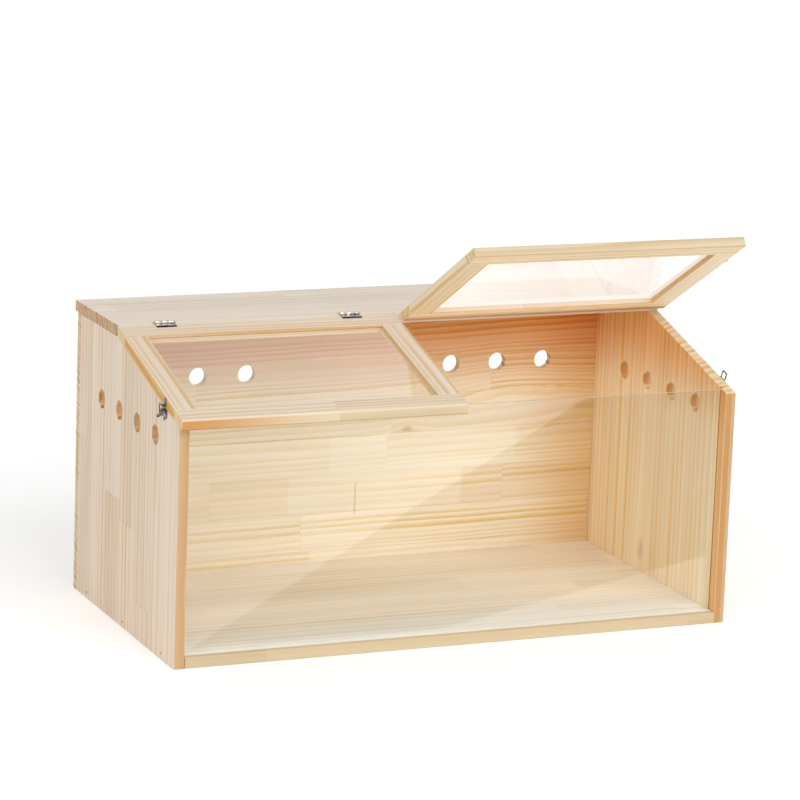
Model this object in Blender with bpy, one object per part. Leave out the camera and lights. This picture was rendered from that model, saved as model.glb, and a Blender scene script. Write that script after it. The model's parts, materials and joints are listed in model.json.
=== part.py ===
# Small animal cage: a pine box whose sloped roof is two framed clear lids, with a clear front sheet.
# Metres, +Z up. The origin is the middle of the floor board's underside, and the front faces -Y.
# Left and right are as seen from the front. The left lid is closed and the right lid stands open.

import math

import bmesh
import bpy
from mathutils import Euler, Matrix, Vector

# Box
CAGE_WIDTH = 0.800
PANEL_DEPTH = 0.400
REAR_HEIGHT = 0.389
FRONT_HEIGHT = 0.322
FLAT_TOP = 0.159
SIDE_THICKNESS = 0.015
FLOOR_THICKNESS = 0.015
BACK_THICKNESS = 0.012
TOP_THICKNESS = 0.015
TOP_OVERHANG = 0.0117
SILL_RADIUS = 0.003
TOP_FRONT_RADIUS = 0.0015
EDGE_EASE = 0.0006

# Vent holes
VENT_DIAMETER = 0.026
VENT_PITCH = 0.072
VENT_HEIGHT = 0.291
SIDE_VENT_FROM_FRONT = 0.090
BACK_VENT_FROM_SIDE = 0.100
SIDE_VENTS = 4
BACK_VENTS_PER_GROUP = 3

# Front window
WINDOW_THICKNESS = 0.003
WINDOW_SETBACK = 0.017
WINDOW_TOP = 0.324
WINDOW_GROOVE_DEPTH = 0.006
WINDOW_PLAY = 0.0005

# Lids
LID_SIDE_OVERHANG = 0.002
LID_CENTRE_GAP = 0.008
LID_FRONT_OVERHANG = 0.0138
LID_REAR_GAP = 0.001
FRAME_WIDTH = 0.031
LID_FRONT_RADIUS = 0.003
PANE_THICKNESS = 0.002
PANE_RECESS = 0.0048
PANE_GROOVE_DEPTH = 0.006
PANE_PLAY = 0.0005
RIGHT_LID_OPENING = math.radians(45.0)

# Clearances
SEAM = 0.0003
HARDWARE_GAP = 0.00015
OVERRUN = 0.005

# Hinges
HINGE_LENGTH = 0.028
HINGE_INSET = 0.066
LEAF_REACH = 0.011
LEAF_THICKNESS = 0.001
BARREL_RADIUS = 0.002
PIN_RADIUS = 0.001
PIN_HEAD_RADIUS = 0.0015
PIN_HEAD_THICKNESS = 0.0006
CENTRE_KNUCKLE = 0.0092
KNUCKLE_GAP = 0.0002
NOTCH_CLEARANCE = 0.0003
HINGE_SCREW_SPACING = 0.017
HINGE_SCREW_REACH = 0.0068

# Screws
SCREW_HEAD_RADIUS = 0.0018
SCREW_HEAD_DEPTH = 0.0008
SCREW_DOME = 0.0003
SCREW_DOME_SHOULDER = 0.0012
DOME_SHOULDER_SHARE = 0.8
SCREW_SHANK_RADIUS = 0.0009
SCREW_LENGTH = 0.0085
SCREW_POINT = 0.0016

# Latches: along the slope, up from the slope line and out from the side panel's face
LATCH_FROM_FRONT = 0.05214
LATCH_PLATE_THICKNESS = 0.001
BASE_HALF_WIDTH = 0.008
BASE_TOP_DROP = 0.0015
BASE_SHOULDER_DROP = 0.0125
BASE_TIP_DROP = 0.0185
BASE_TIP_HALF_WIDTH = 0.0012
BASE_SCREW_SIDE = 0.0056
BASE_SCREW_DROP = 0.0095
PLATE_CORNER_RADIUS = 0.0008
EAR_INNER = 0.0032
EAR_THICKNESS = 0.0008
EAR_RADIUS = 0.0018
PIVOT_DROP = 0.005
PIVOT_OUT = 0.0042
PIVOT_RADIUS = 0.0007
PIVOT_PIN_END = 0.0004
LEVER_HALF_WIDTH = 0.0024
LEVER_HUB_RADIUS = 0.0017
LEVER_HALF_THICKNESS = 0.0012
LEVER_LENGTH = 0.010
LEVER_BEND_LENGTH = 0.0034
LEVER_TIP_RISE = 0.0014
LOOP_PIVOT_REACH = 0.0035
LOOP_EYE_RADIUS = 0.0013
LOOP_LEG_INNER = 0.0048
LOOP_LEG_WIDTH = 0.0012
LOOP_HALF_THICKNESS = 0.0006
LOOP_BAR_WIDTH = 0.0016
LOOP_CORNER_RADIUS = 0.001
LOOP_STUD_END = 0.0004
KEEPER_HALF_WIDTH = 0.005
KEEPER_RISE = 0.0015
KEEPER_SHOULDER_RISE = 0.0108
KEEPER_TIP_RISE = 0.0137
KEEPER_TIP_HALF_WIDTH = 0.0010
KEEPER_SCREW_RISE = 0.0085
LEDGE_HALF_WIDTH = 0.0038
LEDGE_RISE = 0.0018
LEDGE_THICKNESS = 0.001
LEDGE_REACH = 0.0055
LEVER_LIFT = math.radians(34.0)
LOOP_TILT_SHARE = 0.2

# Facets
VENT_SEGMENTS = 28
BARREL_SEGMENTS = 20
SMALL_SEGMENTS = 12
ARC_STEPS = 10
ROUND_STEPS = 3
SMOOTH_ANGLE = math.radians(35.0)

# Worked out from the sizes above
HALF_WIDTH = CAGE_WIDTH / 2
HALF_DEPTH = PANEL_DEPTH / 2
INNER_HALF_WIDTH = HALF_WIDTH - SIDE_THICKNESS
KINK_Y = HALF_DEPTH - FLAT_TOP
SLOPE = math.atan2(REAR_HEIGHT - FRONT_HEIGHT, KINK_Y + HALF_DEPTH)
SLOPE_LENGTH = math.hypot(REAR_HEIGHT - FRONT_HEIGHT, KINK_Y + HALF_DEPTH)
LATCH_ALONG = SLOPE_LENGTH - LATCH_FROM_FRONT
TOP_UNDERSIDE = REAR_HEIGHT + SEAM
TOP_SURFACE = TOP_UNDERSIDE + TOP_THICKNESS
HINGE_RISE = BARREL_RADIUS + HARDWARE_GAP
HINGE_Y = KINK_Y - LID_REAR_GAP / 2
HINGE_Z = TOP_SURFACE + HINGE_RISE
WINDOW_FRONT = WINDOW_SETBACK - HALF_DEPTH
LID_WIDTH = HALF_WIDTH + LID_SIDE_OVERHANG - LID_CENTRE_GAP / 2
LID_CENTRE = (HALF_WIDTH + LID_SIDE_OVERHANG + LID_CENTRE_GAP / 2) / 2

# In a lid's own frame the hinge axis is the origin, +Y runs up the slope and +Z is square to it
KINK_ALONG = (KINK_Y - HINGE_Y) * math.cos(SLOPE) + (REAR_HEIGHT - HINGE_Z) * math.sin(SLOPE)
SLOPE_LINE = (REAR_HEIGHT - HINGE_Z) * math.cos(SLOPE) - (KINK_Y - HINGE_Y) * math.sin(SLOPE)
LID_TOP = -HINGE_RISE
LID_UNDERSIDE = SLOPE_LINE + SEAM
LID_FRONT = KINK_ALONG - SLOPE_LENGTH - LID_FRONT_OVERHANG
PANE_TOP = LID_TOP - PANE_RECESS
PANE_UNDERSIDE = PANE_TOP - PANE_THICKNESS


def clear_scene():
    for item in list(bpy.data.objects):
        bpy.data.objects.remove(item, do_unlink=True)


def make_material(name, colour, roughness, metallic=0.0, alpha=1.0):
    material = bpy.data.materials.new(name)
    material.use_nodes = True
    shader = material.node_tree.nodes["Principled BSDF"]
    shader.inputs["Base Color"].default_value = (*colour, 1.0)
    shader.inputs["Roughness"].default_value = roughness
    shader.inputs["Metallic"].default_value = metallic
    shader.inputs["Alpha"].default_value = alpha
    return material


# Shapes, each a bmesh


def spot(first, second, along, axis):
    places = {"X": (along, first, second), "Y": (first, along, second), "Z": (first, second, along)}
    return Vector(places[axis])


def prism(outline, low, high, axis):
    shape = bmesh.new()
    ring = [shape.verts.new(spot(first, second, low, axis)) for first, second in outline]
    face = shape.faces.new(ring)
    grown = bmesh.ops.extrude_face_region(shape, geom=[face])["geom"]
    copied = [item for item in grown if isinstance(item, bmesh.types.BMVert)]
    bmesh.ops.translate(shape, verts=copied, vec=spot(0, 0, high - low, axis))
    bmesh.ops.recalc_face_normals(shape, faces=shape.faces)
    return shape


def rectangle(first_low, first_high, second_low, second_high):
    return [
        (first_low, second_low),
        (first_high, second_low),
        (first_high, second_high),
        (first_low, second_high),
    ]


def block(x_low, x_high, y_low, y_high, z_low, z_high):
    return prism(rectangle(y_low, y_high, z_low, z_high), x_low, x_high, "X")


def arc(radius, start, end, steps, centre=(0, 0)):
    points = []
    for step in range(steps + 1):
        angle = start + (end - start) * step / steps
        points.append((centre[0] + radius * math.cos(angle), centre[1] + radius * math.sin(angle)))
    return points


def rod(radius, low, high, axis, segments, centre=(0, 0)):
    half_step = math.pi / segments
    outline = arc(radius, half_step, half_step + math.tau, segments, centre)[:-1]
    return prism(outline, low, high, axis)


def turned(profile, segments):
    shape = bmesh.new()
    rings = []
    for radius, height in profile:
        if radius == 0:
            rings.append([shape.verts.new((0, 0, height))])
            continue
        points = arc(radius, 0, math.tau, segments)[:-1]
        rings.append([shape.verts.new((x, y, height)) for x, y in points])
    for upper, lower in zip(rings, rings[1:]):
        for index in range(segments):
            after = (index + 1) % segments
            corners = [upper[index % len(upper)], upper[after % len(upper)]]
            corners += [lower[after % len(lower)], lower[index % len(lower)]]
            shape.faces.new(list(dict.fromkeys(corners)))
    bmesh.ops.recalc_face_normals(shape, faces=shape.faces)
    return shape


def gathered(shapes):
    whole = bmesh.new()
    for shape in shapes:
        mesh = bpy.data.meshes.new("gathered")
        shape.to_mesh(mesh)
        shape.free()
        whole.from_mesh(mesh)
        bpy.data.meshes.remove(mesh)
    return whole


def moved(shape, offset):
    bmesh.ops.translate(shape, verts=shape.verts, vec=offset)
    return shape


def round_edges(shape, chosen, radius, steps):
    edges = [edge for edge in shape.edges if chosen(*[vert.co for vert in edge.verts])]
    bmesh.ops.bevel(shape, geom=edges, offset=radius, segments=steps, profile=0.5,
                    affect="EDGES", material=-1, clamp_overlap=True)
    return shape


def runs_along(axis):
    index = "XYZ".index(axis)

    def chosen(start, end):
        return abs((end - start).normalized()[index]) > math.cos(math.radians(1.0))

    return chosen


# Objects


def make_mesh(name, shape):
    mesh = bpy.data.meshes.new(name)
    shape.to_mesh(mesh)
    shape.free()
    mesh.shade_smooth()
    mesh.set_sharp_from_angle(angle=SMOOTH_ANGLE)
    return mesh


def add_object(name, mesh, material=None, parent=None, offset=(0, 0, 0), turn=(0, 0, 0)):
    item = bpy.data.objects.new(name, mesh)
    bpy.context.scene.collection.objects.link(item)
    item.parent = parent
    item.location = offset
    item.rotation_euler = turn
    if material is not None:
        mesh.materials.clear()
        mesh.materials.append(material)
    return item


def add_pivot(name, parent=None, offset=(0, 0, 0), turn=(0, 0, 0)):
    return add_object(name, None, None, parent, offset, turn)


def ease_edges(item):
    bevel = item.modifiers.new("eased edges", "BEVEL")
    bevel.width = EDGE_EASE
    bevel.segments = 1
    bevel.limit_method = "ANGLE"
    bevel.angle_limit = SMOOTH_ANGLE


def cut(item, name, shapes):
    cutter = add_object(name, make_mesh(name, gathered(shapes)), None, item.parent)
    cutter.hide_render = True
    cutter.display_type = "WIRE"
    cut_with(item, cutter)
    return cutter


def cut_with(item, cutter):
    boolean = item.modifiers.new(cutter.name, "BOOLEAN")
    boolean.operation = "DIFFERENCE"
    boolean.solver = "EXACT"
    boolean.object = cutter


def fused(name, base, added=(), removed=()):
    helpers = [add_object(name, make_mesh(name, base))]
    for shapes, operation in ((added, "UNION"), (removed, "DIFFERENCE")):
        if not shapes:
            continue
        helpers.append(add_object(name, make_mesh(name, gathered(shapes))))
        boolean = helpers[0].modifiers.new(operation, "BOOLEAN")
        boolean.operation = operation
        boolean.solver = "EXACT"
        boolean.object = helpers[-1]
    graph = bpy.context.evaluated_depsgraph_get()
    mesh = bpy.data.meshes.new_from_object(helpers[0].evaluated_get(graph))
    for helper in helpers:
        bpy.data.objects.remove(helper, do_unlink=True)
    mesh.shade_smooth()
    mesh.set_sharp_from_angle(angle=SMOOTH_ANGLE)
    return mesh


# Screws


def screw_shape():
    shank_top = -(SCREW_HEAD_DEPTH + SCREW_HEAD_RADIUS - SCREW_SHANK_RADIUS) / 2
    return turned(
        [
            (0, SCREW_DOME),
            (SCREW_DOME_SHOULDER, SCREW_DOME * DOME_SHOULDER_SHARE),
            (SCREW_HEAD_RADIUS, 0),
            (SCREW_SHANK_RADIUS, shank_top),
            (SCREW_SHANK_RADIUS, SCREW_POINT - SCREW_LENGTH),
            (0, -SCREW_LENGTH),
        ],
        SMALL_SEGMENTS,
    )


def screw_seat():
    shank_top = -(SCREW_HEAD_DEPTH + SCREW_HEAD_RADIUS - SCREW_SHANK_RADIUS) / 2
    head = SCREW_HEAD_RADIUS + HARDWARE_GAP
    shank = SCREW_SHANK_RADIUS + HARDWARE_GAP
    return turned(
        [(0, OVERRUN), (head, OVERRUN), (head, 0), (shank, shank_top), (shank, -OVERRUN), (0, -OVERRUN)],
        SMALL_SEGMENTS,
    )


def pilot_hole(surface_drop, axis, place, outward):
    """Round hole for a screw whose head stands surface_drop above the wood at place."""
    depth = SCREW_LENGTH - surface_drop + SEAM
    start, end = sorted((outward * OVERRUN, -outward * depth))
    shape = rod(SCREW_SHANK_RADIUS + HARDWARE_GAP, start, end, axis, SMALL_SEGMENTS)
    return moved(shape, place)


HINGE_SCREW_PLACES = [side * HINGE_SCREW_SPACING / 2 for side in (-1, 1)]


# Box panels


def side_vent_places():
    first = SIDE_VENT_FROM_FRONT - HALF_DEPTH
    return [first + VENT_PITCH * index for index in range(SIDE_VENTS)]


def back_vent_places():
    first = HALF_WIDTH - BACK_VENT_FROM_SIDE
    group = [first - VENT_PITCH * index for index in range(BACK_VENTS_PER_GROUP)]
    return [-place for place in group] + group[::-1]


def window_groove():
    reach = INNER_HALF_WIDTH + WINDOW_GROOVE_DEPTH
    front = WINDOW_FRONT - SEAM
    back = WINDOW_FRONT + WINDOW_THICKNESS + SEAM
    bottom = FLOOR_THICKNESS - WINDOW_GROOVE_DEPTH
    return block(-reach, reach, front, back, bottom, REAR_HEIGHT + OVERRUN)


def make_floor(pine):
    half = INNER_HALF_WIDTH - SEAM
    shape = block(-half, half, -HALF_DEPTH, HALF_DEPTH, 0, FLOOR_THICKNESS)

    def sill(start, end):
        return max(start.y, end.y) < 0 and min(start.z, end.z) > 0

    round_edges(shape, sill, SILL_RADIUS, ROUND_STEPS)
    floor = add_object("floor_panel", make_mesh("floor_panel", shape), pine)
    ease_edges(floor)
    cut(floor, "floor_groove_cutter", [window_groove()])


def make_back(pine):
    front = HALF_DEPTH + SEAM
    shape = block(-HALF_WIDTH, HALF_WIDTH, front, front + BACK_THICKNESS, 0, REAR_HEIGHT)
    back = add_object("back_panel", make_mesh("back_panel", shape), pine)
    ease_edges(back)
    holes = []
    for place in back_vent_places():
        hole = rod(VENT_DIAMETER / 2, front - OVERRUN, front + BACK_THICKNESS + OVERRUN, "Y",
                   VENT_SEGMENTS, (place, VENT_HEIGHT))
        holes.append(hole)
    cut(back, "back_vent_cutter", holes)


def make_side(side, name, pine):
    outline = [
        (-HALF_DEPTH, 0),
        (HALF_DEPTH, 0),
        (HALF_DEPTH, REAR_HEIGHT),
        (KINK_Y, REAR_HEIGHT),
        (-HALF_DEPTH, FRONT_HEIGHT),
    ]
    low, high = sorted((side * INNER_HALF_WIDTH, side * HALF_WIDTH))
    panel = add_object(name, make_mesh(name, prism(outline, low, high, "X")), pine)
    ease_edges(panel)
    shapes = [window_groove()]
    for place in side_vent_places():
        hole = rod(VENT_DIAMETER / 2, low - OVERRUN, high + OVERRUN, "X", VENT_SEGMENTS,
                   (place, VENT_HEIGHT))
        shapes.append(hole)
    for along in (-BASE_SCREW_SIDE, BASE_SCREW_SIDE):
        pilot = pilot_hole(LATCH_PLATE_THICKNESS + HARDWARE_GAP, "Z", (along, -BASE_SCREW_DROP, 0), 1)
        bmesh.ops.transform(pilot, matrix=latch_place(side), verts=pilot.verts)
        shapes.append(pilot)
    cut(panel, name + "_cutter", shapes)


def make_top(pine):
    rear = HALF_DEPTH + SEAM + BACK_THICKNESS + TOP_OVERHANG
    shape = block(-HALF_WIDTH, HALF_WIDTH, KINK_Y, rear, TOP_UNDERSIDE, TOP_SURFACE)

    def front_top(start, end):
        middle = (KINK_Y + rear) / 2
        return max(start.y, end.y) < middle and min(start.z, end.z) > TOP_UNDERSIDE

    round_edges(shape, front_top, TOP_FRONT_RADIUS, ROUND_STEPS)
    top = add_object("top_panel", make_mesh("top_panel", shape), pine)
    ease_edges(top)
    pilots = []
    for centre in hinge_places():
        for along in HINGE_SCREW_PLACES:
            place = (centre + along, HINGE_Y + HINGE_SCREW_REACH, TOP_SURFACE)
            pilots.append(pilot_hole(LEAF_THICKNESS + HARDWARE_GAP, "Z", place, 1))
    cut(top, "top_pilot_cutter", pilots)


def make_window(acrylic):
    reach = INNER_HALF_WIDTH + WINDOW_GROOVE_DEPTH - WINDOW_PLAY
    bottom = FLOOR_THICKNESS - WINDOW_GROOVE_DEPTH + SEAM
    shape = block(-reach, reach, WINDOW_FRONT, WINDOW_FRONT + WINDOW_THICKNESS, bottom, WINDOW_TOP)
    add_object("front_window", make_mesh("front_window", shape), acrylic)


# Lids


def lid_pivot(name, side, opening):
    return add_pivot(name, None, (side * LID_CENTRE, HINGE_Y, HINGE_Z), (SLOPE - opening, 0, 0))


def rear_edge(height):
    """Where the lid's rear face, which is upright when the lid is shut, lies at one height."""
    return (height * math.sin(SLOPE) - LID_REAR_GAP / 2) / math.cos(SLOPE)


def make_lid(side, prefix, opening, materials):
    pine = materials["pine_lid"]
    pivot = lid_pivot(prefix + "_pivot", side, opening)
    half = LID_WIDTH / 2
    inner_half = half - FRAME_WIDTH
    inner_rear = rear_edge(LID_TOP) - FRAME_WIDTH
    inner_front = LID_FRONT + FRAME_WIDTH
    groove_half = inner_half + PANE_GROOVE_DEPTH
    groove = block(-groove_half, groove_half, inner_front - PANE_GROOVE_DEPTH,
                   inner_rear + PANE_GROOVE_DEPTH, PANE_UNDERSIDE - SEAM, PANE_TOP + SEAM)

    rear_outline = [
        (inner_rear, LID_UNDERSIDE),
        (rear_edge(LID_UNDERSIDE), LID_UNDERSIDE),
        (rear_edge(LID_TOP), LID_TOP),
        (inner_rear, LID_TOP),
    ]
    rear_name = prefix + "_rear_rail"
    rear = add_object(rear_name, make_mesh(rear_name, prism(rear_outline, -half, half, "X")), pine, pivot)
    ease_edges(rear)
    groove_cutter = cut(rear, prefix + "_groove_cutter", [groove])
    pilots = []
    for centre in hinge_places():
        if centre * side < 0:
            continue
        for along in HINGE_SCREW_PLACES:
            place = (centre - side * LID_CENTRE + along, -HINGE_SCREW_REACH, LID_TOP)
            pilots.append(pilot_hole(LEAF_THICKNESS + HARDWARE_GAP, "Z", place, 1))
    cut(rear, prefix + "_pilot_cutter", pilots)

    front_shape = block(-half, half, LID_FRONT, inner_front, LID_UNDERSIDE, LID_TOP)

    def front_top(start, end):
        middle = LID_FRONT + FRAME_WIDTH / 2
        height = (LID_UNDERSIDE + LID_TOP) / 2
        return max(start.y, end.y) < middle and min(start.z, end.z) > height

    round_edges(front_shape, front_top, LID_FRONT_RADIUS, ROUND_STEPS)
    front_name = prefix + "_front_rail"
    front = add_object(front_name, make_mesh(front_name, front_shape), pine, pivot)
    ease_edges(front)
    cut_with(front, groove_cutter)

    for end, end_name in ((-1, "left"), (1, "right")):
        low, high = sorted((end * inner_half, end * half))
        shape = block(low, high, inner_front + SEAM, inner_rear - SEAM, LID_UNDERSIDE, LID_TOP)
        name = prefix + "_" + end_name + "_stile"
        stile = add_object(name, make_mesh(name, shape), pine, pivot)
        ease_edges(stile)
        cut_with(stile, groove_cutter)
        if end == side:
            drop = LATCH_PLATE_THICKNESS + HARDWARE_GAP
            pilot = pilot_hole(drop, "Z", (0, KEEPER_SCREW_RISE, LID_SIDE_OVERHANG), 1)
            bmesh.ops.transform(pilot, matrix=keeper_place(side), verts=pilot.verts)
            cut(stile, prefix + "_keeper_pilot_cutter", [pilot])

    pane_half = groove_half - PANE_PLAY
    pane_name = prefix + "_pane"
    pane_shape = block(-pane_half, pane_half, inner_front - PANE_GROOVE_DEPTH + PANE_PLAY,
                       inner_rear + PANE_GROOVE_DEPTH - PANE_PLAY, PANE_UNDERSIDE, PANE_TOP)
    add_object(pane_name, make_mesh(pane_name, pane_shape), materials["acrylic"], pivot)
    return pivot


# Hinges, about the X axis through their own origin


def hinge_places():
    outer = HALF_WIDTH + LID_SIDE_OVERHANG - HINGE_INSET
    inner = LID_CENTRE_GAP / 2 + HINGE_INSET
    return [-outer, -inner, inner, outer]


def leaf_mesh(name, direction, own_knuckles, other_knuckles):
    """Leaf lying along +Y or -Y of its barrel, with a round knuckle on each of its own stretches."""
    half = HINGE_LENGTH / 2
    low, high = sorted((0, direction * LEAF_REACH))
    plate = block(-half, half, low, high, -BARREL_RADIUS, LEAF_THICKNESS - BARREL_RADIUS)
    knuckles = [rod(BARREL_RADIUS, start, end, "X", BARREL_SEGMENTS) for start, end in own_knuckles]
    bore = rod(PIN_RADIUS + HARDWARE_GAP, -half - OVERRUN, half + OVERRUN, "X", BARREL_SEGMENTS)
    clear = BARREL_RADIUS + NOTCH_CLEARANCE
    notches = [block(start, end, -clear, clear, -OVERRUN, OVERRUN) for start, end in other_knuckles]
    seats = []
    for along in HINGE_SCREW_PLACES:
        place = (along, direction * HINGE_SCREW_REACH, LEAF_THICKNESS - BARREL_RADIUS)
        seats.append(moved(screw_seat(), place))
    notched = fused(name, plate, (), notches)
    shape = bmesh.new()
    shape.from_mesh(notched)
    bpy.data.meshes.remove(notched)
    return fused(name, shape, knuckles, [bore] + seats)


def pin_shape():
    shaft_end = HINGE_LENGTH / 2 + HARDWARE_GAP
    head_end = shaft_end + PIN_HEAD_THICKNESS
    crown = PIN_HEAD_THICKNESS / 2
    shape = turned(
        [
            (0, -head_end),
            (PIN_HEAD_RADIUS - crown, -head_end),
            (PIN_HEAD_RADIUS, crown - head_end),
            (PIN_HEAD_RADIUS, -shaft_end),
            (PIN_RADIUS, -shaft_end),
            (PIN_RADIUS, shaft_end),
            (PIN_HEAD_RADIUS, shaft_end),
            (PIN_HEAD_RADIUS, head_end - crown),
            (PIN_HEAD_RADIUS - crown, head_end),
            (0, head_end),
        ],
        SMALL_SEGMENTS,
    )
    bmesh.ops.rotate(shape, verts=shape.verts, cent=(0, 0, 0), matrix=Matrix.Rotation(math.pi / 2, 3, "Y"))
    return shape


def make_hinges(pivots, materials):
    half = HINGE_LENGTH / 2
    middle = CENTRE_KNUCKLE / 2
    outer = [(-half, -middle - KNUCKLE_GAP), (middle + KNUCKLE_GAP, half)]
    outer_cut = [(-half - OVERRUN, -middle), (middle, half + OVERRUN)]
    centre = [(-middle, middle)]
    centre_cut = [(-middle - KNUCKLE_GAP, middle + KNUCKLE_GAP)]
    panel_leaf = leaf_mesh("hinge_panel_leaf", 1, outer, centre_cut)
    lid_leaf = leaf_mesh("hinge_lid_leaf", -1, centre, outer_cut)
    pin = make_mesh("hinge_pin", pin_shape())
    screw = make_mesh("hinge_screw", screw_shape())
    screw_height = LEAF_THICKNESS - BARREL_RADIUS
    for number, place in enumerate(hinge_places(), 1):
        side = math.copysign(1, place)
        pivot = pivots[side]
        local = place - side * LID_CENTRE
        name = f"hinge_{number}_"
        chrome = materials["hinge_chrome"]
        add_object(name + "panel_leaf", panel_leaf, chrome, None, (place, HINGE_Y, HINGE_Z))
        add_object(name + "lid_leaf", lid_leaf, chrome, pivot, (local, 0, 0))
        add_object(name + "pin", pin, materials["hinge_pin"], None, (place, HINGE_Y, HINGE_Z))
        for index, along in enumerate(HINGE_SCREW_PLACES, 1):
            panel_place = (place + along, HINGE_Y + HINGE_SCREW_REACH, HINGE_Z + screw_height)
            add_object(f"{name}panel_screw_{index}", screw, materials["screw_steel"], None, panel_place)
            lid_place = (local + along, -HINGE_SCREW_REACH, screw_height)
            add_object(f"{name}lid_screw_{index}", screw, materials["screw_steel"], pivot, lid_place)


# Latches. In a latch's frame X runs along the slope, Y up square to it and Z out from the side panel,
# and the origin is on the slope line in the plane of the side panel's outer face.


def facing(side):
    return Matrix(((0, 0, side), (side, 0, 0), (0, 1, 0)))


def latch_place(side):
    tilt = Matrix.Rotation(SLOPE, 4, "X")
    kink = Matrix.Translation((side * HALF_WIDTH, KINK_Y, REAR_HEIGHT))
    return kink @ tilt @ Matrix.Translation((0, -LATCH_ALONG, 0)) @ facing(side).to_4x4()


def keeper_place(side):
    out = side * (HALF_WIDTH - LID_CENTRE)
    return Matrix.Translation((out, KINK_ALONG - LATCH_ALONG, SLOPE_LINE)) @ facing(side).to_4x4()


def plate_shape(half_width, start, shoulder, tip, tip_half_width, underside):
    outline = [
        (-half_width, start),
        (half_width, start),
        (half_width, shoulder),
        (tip_half_width, tip),
        (-tip_half_width, tip),
        (-half_width, shoulder),
    ]
    shape = prism(outline, underside, underside + LATCH_PLATE_THICKNESS, "Z")
    return round_edges(shape, runs_along("Z"), PLATE_CORNER_RADIUS, ROUND_STEPS)


def base_mesh():
    plate = plate_shape(BASE_HALF_WIDTH, -BASE_TOP_DROP, -BASE_SHOULDER_DROP, -BASE_TIP_DROP,
                        BASE_TIP_HALF_WIDTH, HARDWARE_GAP)
    face = HARDWARE_GAP + LATCH_PLATE_THICKNESS
    foot = face - LATCH_PLATE_THICKNESS / 2
    outline = arc(EAR_RADIUS, 0, math.pi, ARC_STEPS, (-PIVOT_DROP, PIVOT_OUT))
    outline += [(-PIVOT_DROP - EAR_RADIUS, foot), (-PIVOT_DROP + EAR_RADIUS, foot)]
    ears = []
    for side in (-1, 1):
        low, high = sorted((side * EAR_INNER, side * (EAR_INNER + EAR_THICKNESS)))
        ears.append(prism(outline, low, high, "X"))
    reach = EAR_INNER + EAR_THICKNESS + OVERRUN
    bore = rod(PIVOT_RADIUS + HARDWARE_GAP, -reach, reach, "X", SMALL_SEGMENTS, (-PIVOT_DROP, PIVOT_OUT))
    places = [(along, -BASE_SCREW_DROP, face) for along in (-BASE_SCREW_SIDE, BASE_SCREW_SIDE)]
    seats = [moved(screw_seat(), place) for place in places]
    return fused("latch_base", plate, ears, [bore] + seats)


def lever_mesh():
    """Lever about the pivot at its origin, lying along -Y, with the studs that carry the loop."""
    bend = LEVER_LENGTH - LEVER_BEND_LENGTH
    corner = math.pi - math.asin(LEVER_HALF_THICKNESS / LEVER_HUB_RADIUS)
    outline = arc(LEVER_HUB_RADIUS, corner, -corner, ARC_STEPS)
    outline += [
        (-bend, -LEVER_HALF_THICKNESS),
        (-LEVER_LENGTH, LEVER_TIP_RISE - LEVER_HALF_THICKNESS),
        (-LEVER_LENGTH - LEVER_HALF_THICKNESS / 2, LEVER_TIP_RISE),
        (-LEVER_LENGTH + LEVER_HALF_THICKNESS / 2, LEVER_TIP_RISE + LEVER_HALF_THICKNESS / 2),
        (-bend, LEVER_HALF_THICKNESS),
    ]
    body = prism(outline, -LEVER_HALF_WIDTH, LEVER_HALF_WIDTH, "X")
    stud_end = LOOP_LEG_INNER + LOOP_LEG_WIDTH + LOOP_STUD_END
    studs = rod(PIVOT_RADIUS, -stud_end, stud_end, "X", SMALL_SEGMENTS, (-LOOP_PIVOT_REACH, 0))
    reach = LEVER_HALF_WIDTH + OVERRUN
    bore = rod(PIVOT_RADIUS + HARDWARE_GAP, -reach, reach, "X", SMALL_SEGMENTS)
    return fused("latch_lever", body, [studs], [bore])


def loop_mesh():
    """Loop about the lever's studs at its origin, with its bar along X at the far end."""
    outer = LOOP_LEG_INNER + LOOP_LEG_WIDTH
    bar_start = PIVOT_DROP + LOOP_PIVOT_REACH + LEDGE_RISE + LEDGE_THICKNESS + SEAM
    bar_end = bar_start + LOOP_BAR_WIDTH
    outline = [
        (LOOP_LEG_INNER, 0),
        (outer, 0),
        (outer, bar_end),
        (-outer, bar_end),
        (-outer, 0),
        (-LOOP_LEG_INNER, 0),
        (-LOOP_LEG_INNER, bar_start),
        (LOOP_LEG_INNER, bar_start),
    ]
    frame = prism(outline, -LOOP_HALF_THICKNESS, LOOP_HALF_THICKNESS, "Z")

    def bar_corner(start, end):
        return runs_along("Z")(start, end) and min(start.y, end.y) > bar_start

    round_edges(frame, bar_corner, LOOP_CORNER_RADIUS, ROUND_STEPS)
    eyes = []
    for side in (-1, 1):
        low, high = sorted((side * LOOP_LEG_INNER, side * outer))
        eyes.append(rod(LOOP_EYE_RADIUS, low, high, "X", SMALL_SEGMENTS))
    bore = rod(PIVOT_RADIUS + HARDWARE_GAP, -outer - OVERRUN, outer + OVERRUN, "X", SMALL_SEGMENTS)
    return fused("latch_loop", frame, eyes, [bore])


def keeper_mesh():
    underside = LID_SIDE_OVERHANG + HARDWARE_GAP
    face = underside + LATCH_PLATE_THICKNESS
    plate = plate_shape(KEEPER_HALF_WIDTH, KEEPER_RISE, KEEPER_SHOULDER_RISE, KEEPER_TIP_RISE,
                        KEEPER_TIP_HALF_WIDTH, underside)
    ledge = block(-LEDGE_HALF_WIDTH, LEDGE_HALF_WIDTH, LEDGE_RISE, LEDGE_RISE + LEDGE_THICKNESS,
                  face - LATCH_PLATE_THICKNESS / 2, LEDGE_REACH)
    seat = moved(screw_seat(), (0, KEEPER_SCREW_RISE, face))
    return fused("latch_keeper", plate, [ledge], [seat])


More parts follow.
